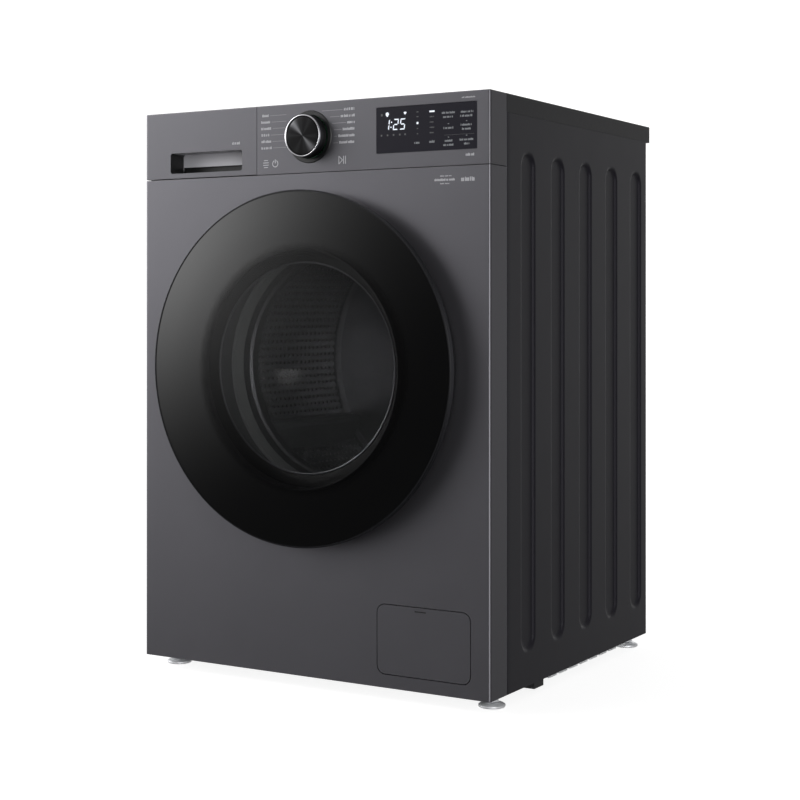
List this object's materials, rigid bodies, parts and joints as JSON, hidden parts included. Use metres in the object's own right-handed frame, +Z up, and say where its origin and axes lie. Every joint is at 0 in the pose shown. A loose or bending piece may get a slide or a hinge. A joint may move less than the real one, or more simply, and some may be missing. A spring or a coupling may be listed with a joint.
{
  "type": "front load washing machine",
  "caption": "Front loading washing machine with a large round dark glass door, a control panel with dial and display, a detergent drawer, and a sprung tub with a direct-drive drum.",
  "frame": {"origin": "on the floor, under the middle of the overall width and depth (from the crown of the door glass to the worktop's rear edge)", "axes": "+X to the right of someone facing the door, +Y from the front towards the back, +Z up"},
  "size_m": [0.6, 0.611, 0.85],
  "materials": {
    "front_enamel": "satin metallic dark grey",
    "side_enamel": "satin charcoal",
    "fascia_plastic": "satin metallic grey",
    "worktop": "satin charcoal",
    "zinc_sheet": "zinc-coated sheet",
    "stainless": "polished stainless sheet",
    "steel": "bright steel",
    "chrome": "polished",
    "aluminium": "cast",
    "black_gloss": "high gloss",
    "black_plastic": "fine grain",
    "knob_metal": "radially spun, dark anodised",
    "grey_plastic": "moulded",
    "white_plastic": "moulded",
    "lifter_plastic": "moulded",
    "blue_plastic": "moulded",
    "rubber_grey": "moulded",
    "rubber_black": "moulded",
    "tinted_glass": "dark tinted, polished",
    "clear_glass": "clear, pressed",
    "concrete": "cast",
    "board_green": "circuit board",
    "copper": "enamelled windings"
  },
  "bodies": {
    "cabinet": {"base_pan": "zinc_sheet", "left_side_panel": "side_enamel", "right_side_panel": "side_enamel", "front_panel": "front_enamel", "rear_panel": "zinc_sheet", "rear_service_cover": "grey_plastic", "panel_screws": "steel", "transit_caps": "grey_plastic", "cord_gland": "black_plastic", "top_plate": "worktop", "upper_rails": "zinc_sheet", "control_fascia": "fascia_plastic", "display_window": "black_gloss", "control_board": "board_green", "dial_bezel": "black_plastic", "dispenser_housing": "white_plastic", "inlet_valve": "white_plastic", "tub_hoses": "rubber_black", "internal_hoses": "rubber_black", "drain_pump": "black_plastic", "drain_outlet": "grey_plastic", "hatch_frame": "black_plastic", "hinge_bracket": "steel", "hinge_pin": "steel", "door_lock": "black_plastic", "door_gasket": "rubber_grey", "suspension_springs": "steel"},
    "door": {"door_glass": "tinted_glass", "door_trim_ring": "black_gloss", "door_frame": "black_plastic", "door_inner_frame": "black_plastic", "door_bowl": "clear_glass", "door_hinge_block": "steel"},
    "door_hook": {"door_hook": "steel"},
    "drawer": {"drawer_front": "fascia_plastic", "drawer_tray": "white_plastic", "softener_cap": "blue_plastic"},
    "dial": {"program_dial": "knob_metal", "dial_ring": "chrome"},
    "filter_hatch": {"hatch_cover": "fascia_plastic"},
    "pump_filter": {"pump_filter": "grey_plastic"},
    "foot_front_left": {"foot_front_left": "steel"},
    "foot_front_right": {"foot_front_right": "steel"},
    "foot_rear_left": {"foot_rear_left": "steel"},
    "foot_rear_right": {"foot_rear_right": "steel"},
    "tub": {"tub_front": "grey_plastic", "tub_rear": "grey_plastic", "counterweights": "concrete", "stator": "copper", "bearings": "steel", "heater": "steel"},
    "drum": {"drum_shell": "stainless", "drum_ends": "stainless", "drum_lifters": "lifter_plastic", "drum_spider": "aluminium", "rotor": "steel"},
    "damper_cylinder_left": {"damper_cylinder_left": "black_plastic"},
    "damper_cylinder_right": {"damper_cylinder_right": "black_plastic"},
    "damper_rod_left": {"damper_rod_left": "grey_plastic"},
    "damper_rod_right": {"damper_rod_right": "grey_plastic"}
  },
  "joints": [
    {"name": "door_hinge", "type": "hinge", "parent": "cabinet", "child": "door", "pos_m": [-0.2465, -0.2775, 0.466], "axis": [0, 0, -1], "range_deg": [0, 115]},
    {"name": "door_latch", "type": "hinge", "parent": "door", "child": "door_hook", "pos_m": [0.214, -0.27, 0.466], "axis": [0, 0, 1], "range_deg": [0, 4], "stiffness_Nm_per_rad": 0.3},
    {"name": "drawer_slide", "type": "slide", "parent": "cabinet", "child": "drawer", "axis": [0, -1, 0], "range_m": [0, 0.2]},
    {"name": "dial_turn", "type": "hinge", "parent": "cabinet", "child": "dial", "pos_m": [0.005, -0.2595, 0.8005], "axis": [0, -1, 0], "continuous": true},
    {"name": "filter_hatch_hinge", "type": "hinge", "parent": "cabinet", "child": "filter_hatch", "pos_m": [0.1945, -0.2515, 0.054], "axis": [1, 0, 0], "range_deg": [0, 90]},
    {"name": "pump_filter_turn", "type": "hinge", "parent": "cabinet", "child": "pump_filter", "pos_m": [0.195, -0.1995, 0.085], "axis": [0, -1, 0], "range_deg": [-180, 0]},
    {"name": "tub_bounce", "type": "slide", "parent": "cabinet", "child": "tub", "axis": [0, 0, 1], "range_m": [-0.01, 0.01], "stiffness_N_per_m": 20000, "springref_m": 0.01518, "deforming": ["suspension_springs", "door_gasket", "tub_hoses"]},
    {"name": "drum_spin", "type": "hinge", "parent": "tub", "child": "drum", "pos_m": [0, 0.0405, 0.466], "axis": [0, 1, 0], "continuous": true},
    {"name": "damper_tilt_right", "type": "hinge", "parent": "cabinet", "child": "damper_cylinder_right", "pos_m": [0.235, -0.0295, 0.052], "axis": [0, 1, 0], "range_deg": [-0.8, 0.8]},
    {"name": "damper_slide_right", "type": "slide", "parent": "damper_cylinder_right", "child": "damper_rod_right", "axis": [-0.2508, 0, 0.968], "range_m": [-0.01, 0.01]},
    {"name": "damper_tilt_left", "type": "hinge", "parent": "cabinet", "child": "damper_cylinder_left", "pos_m": [-0.235, -0.0295, 0.052], "axis": [0, 1, 0], "range_deg": [-0.8, 0.8]},
    {"name": "damper_slide_left", "type": "slide", "parent": "damper_cylinder_left", "child": "damper_rod_left", "axis": [0.2508, 0, 0.968], "range_m": [-0.01, 0.01]},
    {"name": "front_left_level", "type": "slide", "parent": "cabinet", "child": "foot_front_left", "axis": [0, 0, -1], "range_m": [0, 0.015]},
    {"name": "front_right_level", "type": "slide", "parent": "cabinet", "child": "foot_front_right", "axis": [0, 0, -1], "range_m": [0, 0.015]},
    {"name": "rear_left_level", "type": "slide", "parent": "cabinet", "child": "foot_rear_left", "axis": [0, 0, -1], "range_m": [0, 0.015]},
    {"name": "rear_right_level", "type": "slide", "parent": "cabinet", "child": "foot_rear_right", "axis": [0, 0, -1], "range_m": [0, 0.015]}
  ],
  "couplings": [
    {"joint": "damper_tilt_right", "follows": "tub_bounce", "rad_per_m": 1.2579},
    {"joint": "damper_slide_right", "follows": "tub_bounce", "ratio": 0.968},
    {"joint": "damper_tilt_left", "follows": "tub_bounce", "rad_per_m": -1.2579},
    {"joint": "damper_slide_left", "follows": "tub_bounce", "ratio": 0.968}
  ]
}
